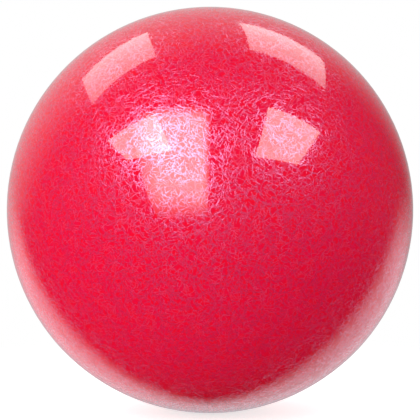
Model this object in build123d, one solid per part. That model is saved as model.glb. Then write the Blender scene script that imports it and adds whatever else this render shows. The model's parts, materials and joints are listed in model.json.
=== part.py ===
from build123d import *
from math import cos, degrees, radians, sin, sqrt
import os

# A drilled ten-pin bowling ball with a fingertip grip and an interchangeable thumb.
# Millimetres, +Z up. The origin is the centre of the ball. The three grip holes lie on the rear
# side, +Y: two finger holes above, the thumb hole below. The front, -Y, is the plain side.
#
# The ball is cast from the inside out: the dense weight block, the light outer core around it,
# then the coverstock. A coloured pin reaches from the weight block to the surface. Each grip hole
# is drilled towards the centre of the ball. The finger holes are lined with glued vinyl inserts.
# The thumb hole holds a glued outer sleeve with a bayonet lock ring at its foot, and an inner
# sleeve that slides out once the lock cam under it is turned to its open position.

# ---- the ball ----
BALL_DIAMETER = 217.8
COVER_THICKNESS = 22.0

# ---- the grip, measured on the surface of the ball ----
FINGER_INSERT_DIAMETER = 22.2
FINGER_BRIDGE = 9.5
FINGER_BORES = {"ring_finger_insert": 17.5, "middle_finger_insert": 18.3}
THUMB_BORE_DIAMETER = 23.0
SPAN = 111.0
FINGER_ELEVATION = 50.0
PIN_ELEVATION = 68.0
CG_MARK_ELEVATION = 27.0
CG_MARK_BEARING = 9.0
GLUE_GAP = 0.1
HOLE_BEVEL = 0.5

# ---- finger inserts ----
INSERT_DEPTH = 29.0
INSERT_LIP = 1.3
INSERT_GROOVES = 4
GLUE_GROOVE_DEPTH = 0.5
GLUE_GROOVE_WIDTH = 1.6

# ---- thumb sleeves and slug ----
OUTER_SLEEVE_RADIUS = 19.05
OUTER_SLEEVE_GROOVES = 6
SLEEVE_BORE_RADIUS = 16.0
SLIDING_CLEARANCE = 0.15
INNER_SLEEVE_LENGTH = 56.0
SLUG_POCKET_RADIUS = 13.5
SLUG_LIP = 1.5
SLEEVE_FLOOR = 6.0
KEY_WIDTH = 3.0
KEY_RADIUS = 17.2
KEY_LENGTH = 9.0
KEY_CLEARANCE = 0.2

# ---- O-rings on the inner sleeve and on the cam's stem ----
O_RING_DEPTHS = {"sleeve_o_ring_outer": 17.0, "sleeve_o_ring_inner": 45.0}
O_RING_SECTION_RADIUS = 0.6
O_RING_CLEARANCE = 0.05

# ---- bayonet lock at the foot of the thumb hole ----
SEAT_GAP = 0.2
CHAMBER_RADIUS = 17.0
LOCK_RING_THICKNESS = 4.0
LOCK_RING_BORE_RADIUS = 12.5
EAR_RADIUS = 15.3
EAR_WIDTH = 8.8
EAR_CLEARANCE = 0.3
CAM_THICKNESS = 4.0
CAM_GAP = 0.2
CHAMBER_FLOOR_GAP = 1.0
SLEEVE_CAP_THICKNESS = 3.0
HUB_RADIUS = 9.0
STEM_RADIUS = 5.0
STEM_CLEARANCE = 0.1
KEY_PLATE_RADIUS = 7.6
KEY_PLATE_THICKNESS = 2.2
KEY_PLATE_POCKET_DEPTH = 2.5
KEY_PLATE_CLEARANCE = 0.3
KEY_HOLE_RADIUS = 1.1
KEY_HOLE_OFFSET = 5.4
SCREW_RADIUS = 1.9
SCREW_LENGTH = 10.0
SCREW_HEAD_RADIUS = 3.3
SCREW_HEAD_HEIGHT = 1.4
SCREW_SOCKET_ACROSS_FLATS = 2.5
SCREW_SOCKET_DEPTH = 1.0

# ---- weight block, heights along the pin's axis from the centre of the ball ----
BULB_RADIUS = 50.0
BULB_HEIGHT = -9.0
BLOCK_FOOT = -54.0
NECK_RADIUS = 30.0
BLOCK_TOP = 58.0
BLOCK_TOP_ROUND = 6.0
BLOCK_FOOT_ROUND = 4.0
NECK_BLEND = 14.0
PIN_RADIUS = 6.35
PIN_SOCKET_DEPTH = 8.0
CG_MARK_RADIUS = 1.4
CG_MARK_DEPTH = 1.2

# ---- sizes and heights worked out from those above ----
BALL_RADIUS = BALL_DIAMETER / 2
OUTER_CORE_RADIUS = BALL_RADIUS - COVER_THICKNESS
BEYOND_BALL = BALL_RADIUS + 5
FINGER_HALF_ANGLE = degrees((FINGER_INSERT_DIAMETER + FINGER_BRIDGE) / 2 / BALL_RADIUS)
MEAN_FINGER_BORE = sum(FINGER_BORES.values()) / len(FINGER_BORES)
GRIP_ARC = SPAN + (MEAN_FINGER_BORE + THUMB_BORE_DIAMETER) / 2
THUMB_ELEVATION = FINGER_ELEVATION - degrees(GRIP_ARC / BALL_RADIUS)
INNER_SLEEVE_RADIUS = SLEEVE_BORE_RADIUS - SLIDING_CLEARANCE
SLEEVE_FOOT = BALL_RADIUS - INNER_SLEEVE_LENGTH
SLEEVE_FLOOR_TOP = SLEEVE_FOOT + SLEEVE_FLOOR
KEY_PLATE_SEAT = SLEEVE_FLOOR_TOP - KEY_PLATE_POCKET_DEPTH
KEY_PLATE_FOOT = KEY_PLATE_SEAT + STEM_CLEARANCE
KEY_PLATE_TOP = KEY_PLATE_FOOT + KEY_PLATE_THICKNESS
STEM_RING_HEIGHT = (SLEEVE_FOOT + KEY_PLATE_SEAT) / 2
LOCK_RING_TOP = SLEEVE_FOOT - SEAT_GAP
LOCK_RING_FOOT = LOCK_RING_TOP - LOCK_RING_THICKNESS
CAM_TOP = LOCK_RING_FOOT - CAM_GAP
CAM_FOOT = CAM_TOP - CAM_THICKNESS
SLEEVE_CAP_TOP = CAM_FOOT - CHAMBER_FLOOR_GAP
SLEEVE_CAP_FOOT = SLEEVE_CAP_TOP - SLEEVE_CAP_THICKNESS


def facing(elevation, bearing=0.0):
    """Frame at the ball's centre whose Z points out at this elevation, bearing degrees from +Y to +X."""
    level = cos(radians(elevation))
    outwards = (sin(radians(bearing)) * level, cos(radians(bearing)) * level, sin(radians(elevation)))
    return Plane(origin=(0, 0, 0), x_dir=(1, 0, 0), z_dir=outwards)


def finger_frame(side):
    """Frame of a finger hole. side is -1 for the ring finger and +1 for the middle finger."""
    between = facing(FINGER_ELEVATION).z_dir
    sideways = Vector(side, 0, 0)
    outwards = between * cos(radians(FINGER_HALF_ANGLE)) + sideways * sin(radians(FINGER_HALF_ANGLE))
    return Plane(origin=(0, 0, 0), x_dir=(1, 0, 0), z_dir=outwards)


FINGER_FRAMES = {"ring_finger_insert": finger_frame(-1), "middle_finger_insert": finger_frame(1)}
THUMB_FRAME = facing(THUMB_ELEVATION)
PIN_FRAME = facing(PIN_ELEVATION)
CG_FRAME = facing(CG_MARK_ELEVATION, CG_MARK_BEARING)


def surface_height(radius):
    """Height of the ball's surface over its centre, at this radius from a hole's axis."""
    return sqrt(BALL_RADIUS**2 - radius**2)


def turned(edges):
    """Solid of revolution about Z from edges that close an outline in the XZ plane."""
    return revolve(Plane.XZ * make_face(edges), axis=Axis.Z)


def disc(radius, low, high):
    """Plain cylinder about Z between two heights."""
    return Pos(0, 0, low) * Cylinder(radius, high - low, align=(Align.CENTER, Align.CENTER, Align.MIN))


def ring(outside, inside, low, high):
    """Plain ring about Z between two heights."""
    return disc(outside, low, high) - disc(inside, low - 1, high + 1)


def lined_tube(outside, inside, foot, lip):
    """Tube that ends flush with the ball's surface, with a rounded lip inside its mouth."""
    lip_outside = inside + lip
    lip_top = surface_height(lip_outside)
    crown_middle = (outside + lip_outside) / 2
    bend = lip * (1 - cos(radians(45)))
    return turned(
        [
            Line((inside, foot), (outside, foot)),
            Line((outside, foot), (outside, surface_height(outside))),
            ThreePointArc(
                (outside, surface_height(outside)),
                (crown_middle, surface_height(crown_middle)),
                (lip_outside, lip_top),
            ),
            ThreePointArc((lip_outside, lip_top), (inside + bend, lip_top - bend), (inside, lip_top - lip)),
            Line((inside, lip_top - lip), (inside, foot)),
        ]
    )


def glue_grooves(outside, low, high, count):
    """Shallow rings cut into the outside of a glued sleeve so that the glue keys to it."""
    spacing = (high - low) / (count + 1)
    middles = [low + number * spacing for number in range(1, count + 1)]
    half_width = GLUE_GROOVE_WIDTH / 2
    return [
        ring(outside + 1, outside - GLUE_GROOVE_DEPTH, middle - half_width, middle + half_width)
        for middle in middles
    ]


def drilled_hole(radius, foot):
    """Cutter for a hole drilled towards the ball's centre, with a bevel at its mouth."""
    bevel_foot = surface_height(radius) - HOLE_BEVEL
    bevel_radius = radius + BEYOND_BALL - bevel_foot
    return turned(
        [
            Polyline(
                (0, foot),
                (radius, foot),
                (radius, bevel_foot),
                (bevel_radius, BEYOND_BALL),
                (0, BEYOND_BALL),
                (0, foot),
            )
        ]
    )


def thumb_hole():
    """Cutter for the thumb hole, in place."""
    return THUMB_FRAME * drilled_hole(OUTER_SLEEVE_RADIUS + GLUE_GAP, SLEEVE_CAP_FOOT - GLUE_GAP)


def grip_holes():
    """Cutters for all three grip holes, in place."""
    finger = drilled_hole(FINGER_INSERT_DIAMETER / 2 + GLUE_GAP, BALL_RADIUS - INSERT_DEPTH - GLUE_GAP)
    return [frame * finger for frame in FINGER_FRAMES.values()] + [thumb_hole()]


def coverstock():
    """Hard outer shell, with the holes for the grip, the pin and the marker."""
    shell = Sphere(BALL_RADIUS) - Sphere(OUTER_CORE_RADIUS)
    pin_hole = PIN_FRAME * disc(PIN_RADIUS, BLOCK_TOP, BEYOND_BALL)
    dimple = CG_FRAME * disc(CG_MARK_RADIUS, BALL_RADIUS - CG_MARK_DEPTH, BEYOND_BALL)
    return shell - grip_holes() - [pin_hole, dimple]


def weight_block_blank():
    """Light-bulb shape of the weight block before drilling: a flat-footed ball with a round neck."""
    half = (Align.MIN, Align.MIN)
    bulb = Pos(0, BULB_HEIGHT) * Circle(BULB_RADIUS)
    bulb &= Pos(0, BLOCK_FOOT) * Rectangle(BULB_RADIUS + 1, 2 * BULB_RADIUS, align=half)
    neck = Pos(0, BULB_HEIGHT) * Rectangle(NECK_RADIUS, BLOCK_TOP - BULB_HEIGHT, align=half)
    outline = bulb + neck
    foot_rim = sqrt(BULB_RADIUS**2 - (BLOCK_FOOT - BULB_HEIGHT) ** 2)
    neck_foot = BULB_HEIGHT + sqrt(BULB_RADIUS**2 - NECK_RADIUS**2)
    roundings = [
        (foot_rim, BLOCK_FOOT, BLOCK_FOOT_ROUND),
        (NECK_RADIUS, neck_foot, NECK_BLEND),
        (NECK_RADIUS, BLOCK_TOP, BLOCK_TOP_ROUND),
    ]
    for across, height, radius in roundings:
        corner = outline.vertices().sort_by_distance((across, height, 0))[0]
        outline = fillet(corner, radius)
    return PIN_FRAME * revolve(Plane.XZ * outline, axis=Axis.Z)


def weight_block():
    """Dense core block with a socket for the pin. The thumb hole drills into its flank."""
    socket = PIN_FRAME * disc(PIN_RADIUS, BLOCK_TOP - PIN_SOCKET_DEPTH, BEYOND_BALL)
    return weight_block_blank() - socket - thumb_hole()


def outer_core():
    """Light filler ball between the weight block and the coverstock."""
    pin_hole = PIN_FRAME * disc(PIN_RADIUS, BLOCK_TOP - 1, BEYOND_BALL)
    return Sphere(OUTER_CORE_RADIUS) - weight_block_blank() - pin_hole - grip_holes()


def pin_plug():
    """Coloured plug in the hole that the mould's pin left, from the weight block to the surface."""
    return PIN_FRAME * disc(PIN_RADIUS, BLOCK_TOP - PIN_SOCKET_DEPTH, BEYOND_BALL) & Sphere(BALL_RADIUS)


def cg_marker():
    """Paint-filled dimple that marks the heavy side of the ball."""
    return CG_FRAME * disc(CG_MARK_RADIUS, BALL_RADIUS - CG_MARK_DEPTH, BEYOND_BALL) & Sphere(BALL_RADIUS)


def finger_insert(name):
    """Soft vinyl tube glued into a finger hole."""
    outside = FINGER_INSERT_DIAMETER / 2
    foot = BALL_RADIUS - INSERT_DEPTH
    tube = lined_tube(outside, FINGER_BORES[name] / 2, foot, INSERT_LIP)
    grooves = glue_grooves(outside, foot, surface_height(outside), INSERT_GROOVES)
    return FINGER_FRAMES[name] * (tube - grooves)


def key_bar(width, reach, foot):
    """Bar along the mouth of the thumb hole: the sleeve's key, or the cutter for its keyway."""
    inside = INNER_SLEEVE_RADIUS - 1
    corner = (Align.CENTER, Align.MIN, Align.MIN)
    return Pos(0, inside, foot) * Box(width, reach - inside, BEYOND_BALL - foot, align=corner)


def thumb_outer_sleeve():
    """Glued sleeve with a sliding bore, a keyway at its mouth and a wider chamber at its foot."""
    blank = disc(OUTER_SLEEVE_RADIUS, SLEEVE_CAP_FOOT, BEYOND_BALL) & Sphere(BALL_RADIUS)
    bore = disc(SLEEVE_BORE_RADIUS, SLEEVE_CAP_FOOT, BEYOND_BALL)
    chamber = disc(CHAMBER_RADIUS, SLEEVE_CAP_FOOT - 1, LOCK_RING_TOP)
    key_foot = surface_height(SLEEVE_BORE_RADIUS) - KEY_LENGTH
    keyway = key_bar(KEY_WIDTH + 2 * KEY_CLEARANCE, KEY_RADIUS + KEY_CLEARANCE, key_foot - KEY_CLEARANCE)
    grooves = glue_grooves(OUTER_SLEEVE_RADIUS, SLEEVE_CAP_FOOT, key_foot, OUTER_SLEEVE_GROOVES)
    return THUMB_FRAME * (blank - bore - chamber - keyway - grooves)


def thumb_lock_ring():
    """Ring at the foot of the thumb hole, with a slot across it that lets the cam's ears through."""
    slot_length = 2 * (EAR_RADIUS + EAR_CLEARANCE)
    slot_width = EAR_WIDTH + 2 * EAR_CLEARANCE
    slot = Pos(0, 0, LOCK_RING_FOOT) * Box(slot_length, slot_width, 3 * LOCK_RING_THICKNESS)
    return THUMB_FRAME * (ring(CHAMBER_RADIUS, LOCK_RING_BORE_RADIUS, LOCK_RING_FOOT, LOCK_RING_TOP) - slot)


def thumb_sleeve_cap():
    """Disc that closes the foot of the outer sleeve."""
    return THUMB_FRAME * disc(CHAMBER_RADIUS, SLEEVE_CAP_FOOT, SLEEVE_CAP_TOP)


def o_ring(wall_radius, height):
    """O-ring at its fitted size, just clear of the wall of the hole that it seals."""
    middle_radius = wall_radius - O_RING_CLEARANCE - O_RING_SECTION_RADIUS
    return Pos(0, 0, height) * Torus(middle_radius, O_RING_SECTION_RADIUS)


def o_ring_groove(wall_radius, height):
    """Groove that takes such an O-ring."""
    floor_radius = wall_radius - 2 * (O_RING_CLEARANCE + O_RING_SECTION_RADIUS)
    half_width = O_RING_SECTION_RADIUS + O_RING_CLEARANCE
    return ring(wall_radius + 1, floor_radius, height - half_width, height + half_width)


def thumb_inner_sleeve():
    """Shell of the removable thumb, with a key at its mouth and a floor that carries the lock cam."""
    shell = disc(INNER_SLEEVE_RADIUS, SLEEVE_FOOT, BEYOND_BALL)
    shell -= disc(SLUG_POCKET_RADIUS, SLEEVE_FLOOR_TOP, BEYOND_BALL + 1)
    key = key_bar(KEY_WIDTH, KEY_RADIUS, surface_height(SLEEVE_BORE_RADIUS) - KEY_LENGTH)
    key -= disc(INNER_SLEEVE_RADIUS - 0.5, SLEEVE_FOOT, BEYOND_BALL + 1)
    body = (shell + key) & Sphere(BALL_RADIUS)
    stem_hole = disc(STEM_RADIUS + STEM_CLEARANCE, SLEEVE_FOOT - 1, SLEEVE_FLOOR_TOP)
    pocket = disc(KEY_PLATE_RADIUS + KEY_PLATE_CLEARANCE, KEY_PLATE_SEAT, SLEEVE_FLOOR_TOP + 1)
    grooves = [o_ring_groove(SLEEVE_BORE_RADIUS, BALL_RADIUS - depth) for depth in O_RING_DEPTHS.values()]
    return THUMB_FRAME * (body - stem_hole - pocket - grooves)


def thumb_slug():
    """Urethane lining of the removable thumb, bored to the bowler's thumb."""
    return THUMB_FRAME * lined_tube(
        SLUG_POCKET_RADIUS - GLUE_GAP, THUMB_BORE_DIAMETER / 2, SLEEVE_FLOOR_TOP, SLUG_LIP
    )


def sleeve_o_ring(name):
    """Rubber ring that grips the wall of the outer sleeve while the thumb slides in or out."""
    return THUMB_FRAME * o_ring(SLEEVE_BORE_RADIUS, BALL_RADIUS - O_RING_DEPTHS[name])


def stem_o_ring():
    """Small rubber ring that keeps the cam from turning by itself."""
    return THUMB_FRAME * o_ring(STEM_RADIUS + STEM_CLEARANCE, STEM_RING_HEIGHT)


def thumb_lock_cam():
    """Bayonet cam: a disc with two ears, a hub, and a stem up through the floor of the inner sleeve."""
    plate = disc(LOCK_RING_BORE_RADIUS - EAR_CLEARANCE, CAM_FOOT, CAM_TOP)
    ear_bar = Pos(0, 0, (CAM_FOOT + CAM_TOP) / 2) * Box(2 * EAR_RADIUS, EAR_WIDTH, CAM_THICKNESS)
    ears = ear_bar & disc(EAR_RADIUS, CAM_FOOT, CAM_TOP)
    hub = disc(HUB_RADIUS, CAM_TOP, SLEEVE_FOOT - SEAT_GAP)
    stem = disc(STEM_RADIUS, CAM_TOP, KEY_PLATE_FOOT)
    thread = disc(SCREW_RADIUS, KEY_PLATE_FOOT - SCREW_LENGTH, KEY_PLATE_FOOT + 1)
    groove = o_ring_groove(STEM_RADIUS + STEM_CLEARANCE, STEM_RING_HEIGHT)
    return THUMB_FRAME * (plate + ears + hub + stem - thread - groove)


def lock_key_plate():
    """Washer on the stem, with two holes for the pins of the key that turns the lock."""
    plate = disc(KEY_PLATE_RADIUS, KEY_PLATE_FOOT, KEY_PLATE_TOP)
    screw_hole = disc(SCREW_RADIUS, KEY_PLATE_FOOT - 1, KEY_PLATE_TOP)
    head_pocket = disc(SCREW_HEAD_RADIUS, KEY_PLATE_TOP - SCREW_HEAD_HEIGHT, KEY_PLATE_TOP + 1)
    key_hole = disc(KEY_HOLE_RADIUS, KEY_PLATE_FOOT - 1, KEY_PLATE_TOP + 1)
    key_holes = [Pos(side * KEY_HOLE_OFFSET, 0, 0) * key_hole for side in (-1, 1)]
    return THUMB_FRAME * (plate - screw_hole - head_pocket - key_holes)


def lock_screw():
    """Socket screw that clamps the key plate to the cam's stem."""
    head_foot = KEY_PLATE_TOP - SCREW_HEAD_HEIGHT
    head = disc(SCREW_HEAD_RADIUS, head_foot, KEY_PLATE_TOP)
    shank = disc(SCREW_RADIUS, KEY_PLATE_FOOT - SCREW_LENGTH, head_foot)
    hexagon = RegularPolygon(SCREW_SOCKET_ACROSS_FLATS / 2, 6, major_radius=False)
    socket = Pos(0, 0, KEY_PLATE_TOP) * extrude(hexagon, -SCREW_SOCKET_DEPTH)
    return THUMB_FRAME * (head + shank - socket)


def all_parts():
    """Every sub-part, by the name of its file."""
    parts = {
        "coverstock": coverstock(),
        "outer_core": outer_core(),
        "weight_block": weight_block(),
        "pin_plug": pin_plug(),
        "cg_marker": cg_marker(),
        "thumb_outer_sleeve": thumb_outer_sleeve(),
        "thumb_lock_ring": thumb_lock_ring(),
        "thumb_sleeve_cap": thumb_sleeve_cap(),
        "thumb_inner_sleeve": thumb_inner_sleeve(),
        "thumb_slug": thumb_slug(),
        "thumb_lock_cam": thumb_lock_cam(),
        "stem_o_ring": stem_o_ring(),
        "lock_key_plate": lock_key_plate(),
        "lock_screw": lock_screw(),
    }
    for name in FINGER_BORES:
        parts[name] = finger_insert(name)
    for name in O_RING_DEPTHS:
        parts[name] = sleeve_o_ring(name)
    return parts


os.makedirs("parts", exist_ok=True)
for part_name, shape in all_parts().items():
    export_step(shape, f"parts/{part_name}.step")
    print(part_name, "solids", len(shape.solids()), "volume", round(shape.volume))

for frame_name, frame in {**FINGER_FRAMES, "thumb": THUMB_FRAME, "pin": PIN_FRAME}.items():
    direction = frame.z_dir
    print(frame_name, "axis", round(direction.X, 6), round(direction.Y, 6), round(direction.Z, 6))
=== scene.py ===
import json
import math

import bpy
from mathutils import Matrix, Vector

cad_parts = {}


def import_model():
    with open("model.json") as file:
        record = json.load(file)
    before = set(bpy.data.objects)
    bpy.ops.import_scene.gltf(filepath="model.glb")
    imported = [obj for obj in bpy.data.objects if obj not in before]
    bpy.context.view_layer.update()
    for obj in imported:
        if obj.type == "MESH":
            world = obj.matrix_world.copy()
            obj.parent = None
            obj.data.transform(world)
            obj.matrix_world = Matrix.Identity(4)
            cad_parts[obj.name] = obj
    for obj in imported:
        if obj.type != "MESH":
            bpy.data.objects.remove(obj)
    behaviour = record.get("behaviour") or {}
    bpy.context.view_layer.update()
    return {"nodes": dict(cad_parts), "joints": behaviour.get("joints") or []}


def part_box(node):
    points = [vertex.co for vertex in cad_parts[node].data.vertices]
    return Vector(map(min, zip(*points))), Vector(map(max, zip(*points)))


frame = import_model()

# A glitter bowling ball on a pale studio floor. Metres. The ball's centre is the origin, the camera
# looks along +Y at the plain side, and the grip is on the far side.

MM = 0.001
BALL_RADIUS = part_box("coverstock")[1][2]
FLOOR_HEIGHT = -BALL_RADIUS
THUMB_AXIS = tuple(frame["joints"][0]["axis"])

# ---- camera ----
# Distance from the ball's centre, degrees over the horizon, and the outline's share of the frame.
CAMERA_DISTANCE = 1.25
CAMERA_ELEVATION = 3.0
BALL_SHARE_OF_FRAME = 0.968

# ---- light ----
# Height of the ceiling panels over the ball's centre, and distance of the key softbox from it.
CEILING = 2.4
KEY_DISTANCE = 1.8
# Glow of the panels, which only reflections see, and their colour.
WINDOW_GLOW = 7.0
REAR_WINDOW_GLOW = 2.9
KEY_GLOW = 7.4
DAYLIGHT = (0.80, 0.98, 0.97)
# Diffuse light: the key lamp, and the world's level, which rises towards AMBIENT_FROM.
KEY_LIGHT = 0.25
AMBIENT = 1.01
AMBIENT_FROM = (-0.34, -0.24, 0.0)
# Corners of the ceiling panels, in ceiling heights from the point over the ball.
FRONT_WINDOWS = {
    "window_front_left": [(-1.44, -0.54), (-0.56, -0.54), (-0.59, -1.35), (-1.55, -1.29)],
    "window_front_right": [(0.55, -0.42), (1.39, -0.28), (1.79, -1.36), (0.78, -1.51)],
}
REAR_WINDOWS = {
    "window_rear_left": [(-1.02, 0.97), (-0.37, 0.99), (-0.355, 0.25), (-1.12, 0.235)],
    "window_rear_right": [(0.16, 0.99), (0.79, 1.11), (0.97, 0.42), (0.25, 0.29)],
}
# The floor's paper, and the light that it adds to its own for the camera and for the ball's
# underside. Spans are distances from the point under the ball, over which the added light rises and
# over which the floor turns white for the camera.
FLOOR_HALF = 6.0
PAPER = (0.88, 0.88, 0.88)
FLOOR_LIFT = 0.74
FLOOR_BOUNCE = 0.16
BOUNCE_SPAN = (0.06, 0.30)
WHITE_SPAN = (0.10, 0.35)
# For diffuse rays the floor is grey around this place, which shades the ball's lower right side.
FLAG_PLACE = (0.24, -0.16, 0.0)
FLAG_SPAN = (0.28, 0.08)
FLAG_GREY = (0.24, 0.24, 0.24)
# The key softbox faces the ball from the camera's left. Its corners are in distances from its centre.
KEY_BEARING = -17.0
KEY_ELEVATION = 28.0
KEY_CORNERS = [(0.33, -0.62), (0.20, 0.66), (-0.62, 0.55), (-0.22, -0.58)]
KEY_LAMP_SIZE = (0.8, 1.2)
# How far in from each edge the softbox reaches its full glow, in shares of its width and height.
SOFTBOX_FADE = {"left": 0.45, "right": 0.14, "foot": 0.35, "head": 0.2}
# The studio in reflections. Over the horizon it brightens towards BACKDROP, and under it towards the
# white floor behind the ball. Each level goes from its dark end to its bright end over its span.
BACKDROP = (-0.24, 0.85, 0.46)
BACKDROP_SPAN = (0.50, 1.0)
BACKDROP_LEVELS = (0.06, 0.66)
FLOOR_AHEAD = (0.05, 1.0, 0.0)
FLOOR_SPAN = (0.60, 0.80)
FLOOR_LEVELS = (0.02, 1.15)
FLOOR_CORNER = 0.55
FLOOR_DIM_SPAN = (0.82, 1.0)
FLOOR_DIM = 0.55
HORIZON_SPAN = (0.05, -0.25)
WHITE = (1.0, 1.0, 1.0)
FLOOR_BLUSH = (1.0, 0.90, 0.97)


class Nodes:
    """Short calls that add nodes to a tree and return their output sockets."""

    def __init__(self, tree):
        self.tree = tree
        tree.nodes.clear()

    def add(self, kind, inputs=None, **settings):
        node = self.tree.nodes.new(kind)
        for name, value in settings.items():
            setattr(node, name, value)
        for name, value in (inputs or {}).items():
            self.feed(node.inputs[name], value)
        return node

    def feed(self, socket, value):
        if isinstance(value, bpy.types.NodeSocket):
            self.tree.links.new(value, socket)
        elif isinstance(value, (int, float)) and socket.type in ("VECTOR", "RGBA"):
            socket.default_value = (value,) * 3 + ((1.0,) if socket.type == "RGBA" else ())
        elif socket.type == "RGBA" and len(value) == 3:
            socket.default_value = (*value, 1.0)
        else:
            socket.default_value = value

    def math(self, operation, a, b=0.0, c=0.0):
        return self.add("ShaderNodeMath", {0: a, 1: b, 2: c}, operation=operation).outputs[0]

    def vector(self, operation, a, b=(0.0, 0.0, 0.0)):
        node = self.add("ShaderNodeVectorMath", {0: a, 1: b}, operation=operation)
        return node.outputs["Value" if operation in ("DOT_PRODUCT", "LENGTH") else "Vector"]

    def scaled(self, vector, factor):
        node = self.add("ShaderNodeVectorMath", {0: vector, "Scale": factor}, operation="SCALE")
        return node.outputs["Vector"]

    def ramp(self, value, low, high, to_low=0.0, to_high=1.0):
        inputs = {"Value": value, "From Min": low, "From Max": high, "To Min": to_low, "To Max": to_high}
        return self.add("ShaderNodeMapRange", inputs, interpolation_type="SMOOTHSTEP").outputs["Result"]

    def mix(self, factor, a, b):
        inputs = {"Factor": factor, 6: a, 7: b}
        return self.add("ShaderNodeMix", inputs, data_type="RGBA").outputs[2]

    def mix_vector(self, factor, a, b):
        inputs = {"Factor": factor, 4: a, 5: b}
        return self.add("ShaderNodeMix", inputs, data_type="VECTOR").outputs[1]

    def noise(self, place, scale, detail=2.0, roughness=0.5):
        inputs = {"Vector": place, "Scale": scale, "Detail": detail, "Roughness": roughness}
        return self.add("ShaderNodeTexNoise", inputs).outputs["Fac"]

    def place(self):
        return self.add("ShaderNodeTexCoord").outputs["Object"]


def new_material(name):
    material = bpy.data.materials.new(name)
    material.use_nodes = True
    return material, Nodes(material.node_tree)


def surface(nodes, inputs):
    """Ends a material with a Principled shader."""
    shader = nodes.add("ShaderNodeBsdfPrincipled", inputs)
    nodes.add("ShaderNodeOutputMaterial", {"Surface": shader.outputs[0]})


# ---- the coverstock's glitter ----
# Each sheet of fibres has a spacing in millimetres and a shift in metres that tells it from the others.
STRAND_SHEETS = [
    (4.5, 0.3),
    (4.1, 0.7),
    (4.8, 1.3),
    (4.3, 1.9),
    (4.6, 2.6),
    (4.0, 3.4),
    (4.7, 4.1),
    (4.2, 4.9),
]
# Longest half length and half width of a fibre, how far it bows, how round it is across, and how far
# it may roll to one side.
STRAND_LENGTH = 4.4 * MM
STRAND_HALF_WIDTH = 0.20 * MM
STRAND_CURVE = 90.0
STRAND_ROUND = 0.40
STRAND_ROLL = 0.24
# Colours of the resin, of the painted shadow along one side of each fibre, and of the fibres and their
# glint.
RESIN_RED = (0.85, 0.003, 0.026)
RESIN_ROSE = (0.79, 0.004, 0.048)
RESIN_FLECK = (0.60, 0.003, 0.045)
STRAND_PAINTED_SHADOW = (0.50, 0.002, 0.050)
STRAND_PINK = (0.94, 0.006, 0.090)
STRAND_WARM = (1.00, 0.009, 0.070)
STRAND_GLINT = (0.60, 0.56, 1.0)
# How far the painted shadow beside each fibre darkens the resin.
PAINTED_SHADOW_SHARE = 0.30
STRAND_METAL = 0.12
RESIN_ROUGHNESS = 0.62
STRAND_ROUGHNESS = 0.26
# Noise scales, per metre: soft clouds and small flecks in the resin, and where fibres crowd together.
CLOUD_SCALE = 260.0
FLECK_SCALE = 900.0
CROWD_SCALE = 150.0
# Refraction of the fibres and of the clear surface over them, and how far it follows their lean.
FIBRE_IOR = 2.0
COAT_IOR = 1.5
COAT_RIPPLE = 0.16


def strand_sheet(nodes, place, outwards, spacing, seed):
    """One sheet of short curved fibres that lie along the ball, one to a Voronoi cell.

    Gives the fibres' cover, a painted shadow along one side of them, their tilt, and a random number for
    each fibre.
    """
    shifted = nodes.vector("ADD", place, (seed, -seed, seed / 2))
    cells = nodes.add(
        "ShaderNodeTexVoronoi", {"Vector": shifted, "Scale": 1 / (spacing * MM)}, feature="F1"
    )
    luck = nodes.vector("SUBTRACT", cells.outputs["Color"], (0.5, 0.5, 0.5))
    away = nodes.vector("SUBTRACT", shifted, cells.outputs["Position"])
    along_axis = nodes.vector("NORMALIZE", nodes.vector("CROSS_PRODUCT", outwards, luck))
    across_axis = nodes.vector("CROSS_PRODUCT", outwards, along_axis)
    along = nodes.vector("DOT_PRODUCT", away, along_axis)
    across = nodes.vector("DOT_PRODUCT", away, across_axis)
    split = nodes.add("ShaderNodeSeparateXYZ", {0: luck}).outputs
    bow = nodes.math("MULTIPLY", nodes.math("MULTIPLY", along, along), STRAND_CURVE)
    across = nodes.math("ADD", across, nodes.math("MULTIPLY", bow, nodes.math("MULTIPLY", split[0], 2.0)))
    side = nodes.math("DIVIDE", across, STRAND_HALF_WIDTH)
    body = nodes.ramp(nodes.math("ABSOLUTE", side), 1.0, 0.55)
    # Painted shadow: a dark band a little off to one side of each fibre.
    painted_shadow_band = nodes.ramp(nodes.math("ABSOLUTE", nodes.math("ADD", side, 1.7)), 1.0, 0.2)
    length = nodes.math("MULTIPLY_ADD", split[1], STRAND_LENGTH * 0.5, STRAND_LENGTH * 0.5)
    ends = nodes.ramp(nodes.math("DIVIDE", nodes.math("ABSOLUTE", along), length), 1.0, 0.75)
    cover = nodes.math("MULTIPLY", body, ends)
    shadow = nodes.math("MULTIPLY", painted_shadow_band, ends)
    lean = nodes.scaled(across_axis, nodes.math("MULTIPLY", side, STRAND_ROUND))
    roll = nodes.scaled(across_axis, nodes.math("MULTIPLY", split[2], STRAND_ROLL))
    return cover, shadow, nodes.vector("ADD", lean, roll), split[0]


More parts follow.
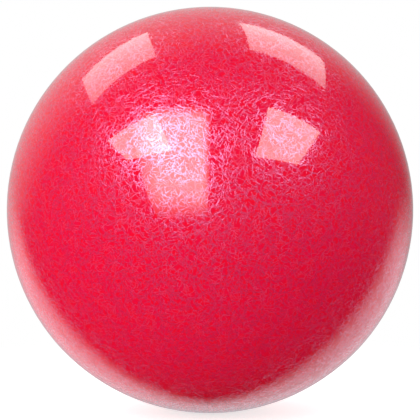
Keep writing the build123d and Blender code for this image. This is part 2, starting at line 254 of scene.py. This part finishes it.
def coverstock_material():
    """Red resin full of pale fibres under a clear polished surface."""
    material, nodes = new_material("cover_resin")
    place = nodes.place()
    outwards = nodes.vector("NORMALIZE", place)
    clouds = nodes.noise(place, CLOUD_SCALE, detail=4.0, roughness=0.65)
    flecks = nodes.noise(place, FLECK_SCALE, detail=2.0)
    colour = nodes.mix(nodes.ramp(clouds, 0.35, 0.65), RESIN_RED, RESIN_ROSE)
    colour = nodes.mix(nodes.ramp(flecks, 0.35, 0.25), colour, RESIN_FLECK)
    tilt = (0.0, 0.0, 0.0)
    cover = 0.0
    crowd = nodes.ramp(nodes.noise(place, CROWD_SCALE, detail=2.0), 0.36, 0.50, 0.25, 1.0)
    for spacing, seed in STRAND_SHEETS:
        sheet, shadow, sheet_tilt, luck = strand_sheet(nodes, place, outwards, spacing, seed)
        sheet = nodes.math("MULTIPLY", sheet, crowd)
        tint = nodes.mix(nodes.ramp(luck, -0.4, 0.5), STRAND_PINK, STRAND_WARM)
        # Painted shadow: the resin is darkened along one side of each fibre.
        colour = nodes.mix(nodes.math("MULTIPLY", shadow, PAINTED_SHADOW_SHARE), colour, STRAND_PAINTED_SHADOW)
        colour = nodes.mix(sheet, colour, tint)
        tilt = nodes.mix_vector(sheet, tilt, sheet_tilt)
        cover = nodes.math("MAXIMUM", cover, sheet)
    away = nodes.add("ShaderNodeLayerWeight", {"Blend": 0.5}).outputs["Facing"]
    facing = nodes.math("SUBTRACT", 1.0, away)
    sparkle = nodes.math("MULTIPLY", cover, facing)
    normal = nodes.add("ShaderNodeNewGeometry").outputs["Normal"]
    raised = nodes.scaled(tilt, cover)
    bent = nodes.vector("NORMALIZE", nodes.vector("ADD", normal, raised))
    rippled = nodes.vector("NORMALIZE", nodes.vector("ADD", normal, nodes.scaled(raised, COAT_RIPPLE)))
    surface(
        nodes,
        {
            "Base Color": colour,
            "Metallic": nodes.math("MULTIPLY", cover, STRAND_METAL),
            "Roughness": nodes.ramp(cover, 0.0, 1.0, RESIN_ROUGHNESS, STRAND_ROUGHNESS),
            "Normal": bent,
            "IOR": FIBRE_IOR,
            "Specular IOR Level": sparkle,
            "Specular Tint": STRAND_GLINT,
            "Coat Weight": 1.0,
            "Coat Roughness": 0.02,
            "Coat IOR": COAT_IOR,
            "Coat Normal": rippled,
        },
    )
    return material


def moulded(name, colour, shade, roughness, grain=0.15, coat=0.0):
    """Moulded or cast plastic, rubber or paint: two tones in soft patches, and a fine grain."""
    material, nodes = new_material(name)
    place = nodes.place()
    patches = nodes.noise(place, 90.0, detail=5.0, roughness=0.6)
    pits = nodes.noise(place, 1600.0, detail=3.0)
    bump = nodes.add("ShaderNodeBump", {"Height": pits, "Strength": grain, "Distance": 0.1 * MM})
    surface(
        nodes,
        {
            "Base Color": nodes.mix(nodes.ramp(patches, 0.3, 0.7), colour, shade),
            "Roughness": nodes.ramp(pits, 0.3, 0.7, roughness - 0.07, roughness + 0.07),
            "Normal": bump.outputs["Normal"],
            "Coat Weight": coat,
            "Coat Roughness": 0.04,
        },
    )
    return material


def turned(name, colour, shade, roughness, metallic=0.0):
    """Plastic or metal cut on a lathe, with faint marks round the thumb hole's axis and small scuffs."""
    material, nodes = new_material(name)
    place = nodes.place()
    along = nodes.vector("DOT_PRODUCT", place, THUMB_AXIS)
    out = nodes.vector("LENGTH", nodes.vector("SUBTRACT", place, nodes.scaled(THUMB_AXIS, along)))
    cut = nodes.add("ShaderNodeCombineXYZ", {0: along, 1: out}).outputs[0]
    marks = nodes.noise(cut, 2400.0, detail=2.0)
    scuffs = nodes.noise(place, 240.0, detail=6.0, roughness=0.7)
    worn = nodes.ramp(scuffs, 0.52, 0.70)
    polish = nodes.ramp(marks, 0.3, 0.7, roughness, roughness + 0.1)
    bump = nodes.add("ShaderNodeBump", {"Height": marks, "Strength": 0.25, "Distance": 0.05 * MM})
    surface(
        nodes,
        {
            "Base Color": nodes.mix(worn, nodes.mix(nodes.ramp(marks, 0.35, 0.65), colour, shade), shade),
            "Metallic": metallic,
            "Roughness": nodes.math("MULTIPLY_ADD", worn, 0.12, polish),
            "Normal": bump.outputs["Normal"],
        },
    )
    return material


def filled_resin(name, colour, speck, roughness, coat=0.0):
    """Cast resin with mineral specks in it."""
    material, nodes = new_material(name)
    place = nodes.place()
    specks = nodes.add("ShaderNodeTexVoronoi", {"Vector": place, "Scale": 500.0}, feature="F1").outputs
    spot = nodes.ramp(specks["Distance"], 0.30, 0.18)
    swirl = nodes.noise(place, 45.0, detail=6.0, roughness=0.6)
    darker = tuple(channel * 0.75 for channel in colour)
    bump = nodes.add("ShaderNodeBump", {"Height": spot, "Strength": 0.1, "Distance": 0.05 * MM})
    surface(
        nodes,
        {
            "Base Color": nodes.mix(spot, nodes.mix(nodes.ramp(swirl, 0.35, 0.65), colour, darker), speck),
            "Roughness": nodes.ramp(swirl, 0.3, 0.7, roughness - 0.05, roughness + 0.08),
            "Normal": bump.outputs["Normal"],
            "Coat Weight": coat,
            "Coat Roughness": 0.03,
        },
    )
    return material


def dress(node, material):
    """Gives a CAD node its finished material."""
    slots = frame["nodes"][node].data.materials
    slots.clear()
    slots.append(material)


def quad_panel(name, corners, glow, soft=False):
    """Panel that shows only in reflections. A soft one fades towards its edges."""
    mesh = bpy.data.meshes.new(name)
    mesh.from_pydata(corners, [], [(0, 1, 2, 3)])
    panel = bpy.data.objects.new(name, mesh)
    bpy.context.scene.collection.objects.link(panel)
    material, nodes = new_material(name)
    if soft:
        place = nodes.add("ShaderNodeTexCoord").outputs["Generated"]
        across, _, up = nodes.add("ShaderNodeSeparateXYZ", {0: place}).outputs
        from_left = nodes.ramp(across, 0.0, SOFTBOX_FADE["left"])
        from_right = nodes.ramp(across, 1.0, 1.0 - SOFTBOX_FADE["right"])
        from_foot = nodes.ramp(up, 0.0, SOFTBOX_FADE["foot"])
        from_head = nodes.ramp(up, 1.0, 1.0 - SOFTBOX_FADE["head"])
        sideways = nodes.math("MULTIPLY", from_left, from_right)
        upright = nodes.math("MULTIPLY", from_foot, from_head)
        fade = nodes.math("MULTIPLY", sideways, upright)
        glow = nodes.math("MULTIPLY", fade, glow)
    light = nodes.add("ShaderNodeEmission", {"Color": DAYLIGHT, "Strength": glow})
    through = nodes.add("ShaderNodeBsdfTransparent")
    both = nodes.add("ShaderNodeAddShader", {0: light.outputs[0], 1: through.outputs[0]})
    nodes.add("ShaderNodeOutputMaterial", {"Surface": both.outputs[0]})
    mesh.materials.append(material)
    panel.visible_camera = False
    panel.visible_diffuse = False
    panel.visible_shadow = False


def key_plane():
    """Centre of the key softbox, and its right and up as the camera has them."""
    bearing, rise = math.radians(KEY_BEARING), math.radians(KEY_ELEVATION)
    ahead = Vector((math.sin(bearing), -math.cos(bearing), 0.0))
    upwards = Vector((0.0, 0.0, 1.0))
    outwards = ahead * math.cos(rise) + upwards * math.sin(rise)
    right = Vector((math.cos(bearing), math.sin(bearing), 0.0))
    up = upwards * math.cos(rise) - ahead * math.sin(rise)
    return outwards * KEY_DISTANCE, right * KEY_DISTANCE, up * KEY_DISTANCE


def lights():
    """Four ceiling windows and the key softbox in reflections, and a lamp for diffuse light alone."""
    for windows, glow in ((FRONT_WINDOWS, WINDOW_GLOW), (REAR_WINDOWS, REAR_WINDOW_GLOW)):
        for name, corners in windows.items():
            quad_panel(name, [(x * CEILING, y * CEILING, CEILING) for x, y in corners], glow)
    centre, right, up = key_plane()
    quad_panel("key_softbox", [centre + right * x + up * y for x, y in KEY_CORNERS], KEY_GLOW, soft=True)
    lamp = bpy.data.lights.new("key_lamp", "AREA")
    lamp.shape = "RECTANGLE"
    lamp.size = KEY_LAMP_SIZE[0] * KEY_DISTANCE
    lamp.size_y = KEY_LAMP_SIZE[1] * KEY_DISTANCE
    lamp.energy = KEY_LIGHT * math.pi * lamp.size * lamp.size_y
    key = bpy.data.objects.new("key_lamp", lamp)
    key.location = centre
    key.rotation_euler = (-centre).to_track_quat("-Z", "Y").to_euler()
    key.visible_camera = False
    key.visible_glossy = False
    bpy.context.scene.collection.objects.link(key)


def world():
    """White for the camera, even for diffuse rays, and in reflections bright behind the ball only."""
    scene_world = bpy.data.worlds.new("studio")
    bpy.context.scene.world = scene_world
    scene_world.use_nodes = True
    scene_world.cycles.sampling_method = "NONE"
    nodes = Nodes(scene_world.node_tree)
    direction = nodes.add("ShaderNodeTexCoord").outputs["Generated"]
    towards = nodes.vector("DOT_PRODUCT", direction, BACKDROP)
    above = nodes.ramp(towards, *BACKDROP_SPAN, *BACKDROP_LEVELS)
    parts = nodes.add("ShaderNodeSeparateXYZ", {0: direction}).outputs
    corner = nodes.math("ABSOLUTE", nodes.math("MULTIPLY", parts[0], parts[2]))
    low_ahead = nodes.vector("DOT_PRODUCT", direction, FLOOR_AHEAD)
    low_ahead = nodes.math("MULTIPLY_ADD", corner, FLOOR_CORNER, low_ahead)
    below = nodes.ramp(low_ahead, *FLOOR_SPAN, *FLOOR_LEVELS)
    below = nodes.math("MULTIPLY", below, nodes.ramp(parts[1], *FLOOR_DIM_SPAN, 1.0, FLOOR_DIM))
    under = nodes.ramp(parts[2], *HORIZON_SPAN)
    studio = nodes.math("MULTIPLY_ADD", under, nodes.math("SUBTRACT", below, above), above)
    soft = nodes.math("ADD", nodes.vector("DOT_PRODUCT", direction, AMBIENT_FROM), AMBIENT)
    rays = nodes.add("ShaderNodeLightPath").outputs
    level = nodes.math("MULTIPLY_ADD", rays["Is Diffuse Ray"], nodes.math("SUBTRACT", soft, studio), studio)
    seen = nodes.math("MAXIMUM", rays["Is Camera Ray"], rays["Is Transmission Ray"])
    level = nodes.math("MAXIMUM", level, seen)
    blush = nodes.math("MULTIPLY", under, rays["Is Glossy Ray"])
    colour = nodes.mix(blush, WHITE, FLOOR_BLUSH)
    glow = nodes.add("ShaderNodeBackground", {"Color": colour, "Strength": level})
    nodes.add("ShaderNodeOutputWorld", {"Surface": glow.outputs[0]})


def floor():
    """Pale floor that keeps the ball's shadow and turns white further out for the camera."""
    mesh = bpy.data.meshes.new("floor")
    corners = [(-1, -1), (1, -1), (1, 1), (-1, 1)]
    corners = [(x * FLOOR_HALF, y * FLOOR_HALF, FLOOR_HEIGHT) for x, y in corners]
    mesh.from_pydata(corners, [], [(0, 1, 2, 3)])
    plane = bpy.data.objects.new("floor", mesh)
    bpy.context.scene.collection.objects.link(plane)
    material, nodes = new_material("pale_floor")
    flat = nodes.vector("MULTIPLY", nodes.place(), (1.0, 1.0, 0.0))
    reach = nodes.vector("LENGTH", flat)
    rays = nodes.add("ShaderNodeLightPath").outputs
    from_flag = nodes.vector("LENGTH", nodes.vector("SUBTRACT", flat, FLAG_PLACE))
    flag = nodes.math("MULTIPLY", nodes.ramp(from_flag, *FLAG_SPAN), rays["Is Diffuse Ray"])
    paper = nodes.add("ShaderNodeBsdfDiffuse", {"Color": nodes.mix(flag, PAPER, FLAG_GREY)})
    bounce = nodes.math("MULTIPLY", nodes.ramp(reach, *BOUNCE_SPAN), FLOOR_BOUNCE)
    bounce = nodes.math("MULTIPLY", bounce, rays["Is Diffuse Ray"])
    glow = nodes.math("MULTIPLY_ADD", rays["Is Camera Ray"], FLOOR_LIFT, bounce)
    lift = nodes.add("ShaderNodeEmission", {"Color": WHITE, "Strength": glow})
    paper = nodes.add("ShaderNodeAddShader", {0: paper.outputs[0], 1: lift.outputs[0]})
    white = nodes.add("ShaderNodeEmission", {"Color": WHITE, "Strength": 1.0})
    far = nodes.math("MULTIPLY", nodes.ramp(reach, *WHITE_SPAN), rays["Is Camera Ray"])
    blend = nodes.add("ShaderNodeMixShader", {"Fac": far, 1: paper.outputs[0], 2: white.outputs[0]})
    nodes.add("ShaderNodeOutputMaterial", {"Surface": blend.outputs[0]})
    mesh.materials.append(material)
    plane.visible_glossy = False


def camera():
    """Camera on the plain side, with the ball's outline filling its share of the frame."""
    data = bpy.data.cameras.new("camera")
    outline = math.asin(BALL_RADIUS / CAMERA_DISTANCE)
    data.angle = 2 * math.atan(math.tan(outline) / BALL_SHARE_OF_FRAME)
    view = bpy.data.objects.new("camera", data)
    rise = math.radians(CAMERA_ELEVATION)
    view.location = (0.0, -CAMERA_DISTANCE * math.cos(rise), CAMERA_DISTANCE * math.sin(rise))
    view.rotation_euler = (-view.location).to_track_quat("-Z", "Y").to_euler()
    bpy.context.scene.collection.objects.link(view)
    bpy.context.scene.camera = view


camera()
lights()
world()
floor()
dress("coverstock", coverstock_material())
dress("outer_core", filled_resin("core_filler", (0.62, 0.56, 0.44), (0.80, 0.78, 0.70), 0.6))
dress("weight_block", filled_resin("block_resin", (0.10, 0.14, 0.24), (0.30, 0.34, 0.42), 0.5))
dress("pin_plug", filled_resin("pin_resin", (0.86, 0.80, 0.70), (0.92, 0.90, 0.86), 0.3, coat=1.0))
dress("cg_marker", moulded("marker_paint", (0.88, 0.85, 0.80), (0.74, 0.70, 0.66), 0.35, coat=0.6))
vinyl = moulded("finger_vinyl", (0.030, 0.026, 0.030), (0.018, 0.015, 0.018), 0.42, grain=0.35)
dress("ring_finger_insert", vinyl)
dress("middle_finger_insert", vinyl)
urethane = moulded("slug_urethane", (0.050, 0.040, 0.048), (0.030, 0.024, 0.030), 0.38, grain=0.25)
dress("thumb_slug", urethane)
sleeve = turned("outer_sleeve_plastic", (0.030, 0.030, 0.034), (0.050, 0.050, 0.055), 0.36)
dress("thumb_outer_sleeve", sleeve)
dress("thumb_sleeve_cap", sleeve)
dress("thumb_lock_ring", turned("lock_ring_nylon", (0.78, 0.75, 0.68), (0.66, 0.62, 0.55), 0.45))
dress("thumb_inner_sleeve", turned("inner_sleeve_plastic", (0.70, 0.69, 0.66), (0.60, 0.59, 0.56), 0.33))
rubber = moulded("seal_rubber", (0.022, 0.022, 0.022), (0.040, 0.039, 0.038), 0.55, grain=0.2)
for seal in ("sleeve_o_ring_outer", "sleeve_o_ring_inner", "stem_o_ring"):
    dress(seal, rubber)
aluminium = turned("cam_aluminium", (0.76, 0.77, 0.79), (0.62, 0.63, 0.65), 0.30, metallic=1.0)
dress("thumb_lock_cam", aluminium)
plate_steel = turned("plate_steel", (0.60, 0.60, 0.61), (0.46, 0.46, 0.47), 0.34, metallic=1.0)
dress("lock_key_plate", plate_steel)
screw_steel = turned("screw_steel", (0.22, 0.22, 0.23), (0.14, 0.14, 0.15), 0.36, metallic=1.0)
dress("lock_screw", screw_steel)
bpy.context.scene.view_settings.view_transform = "Standard"
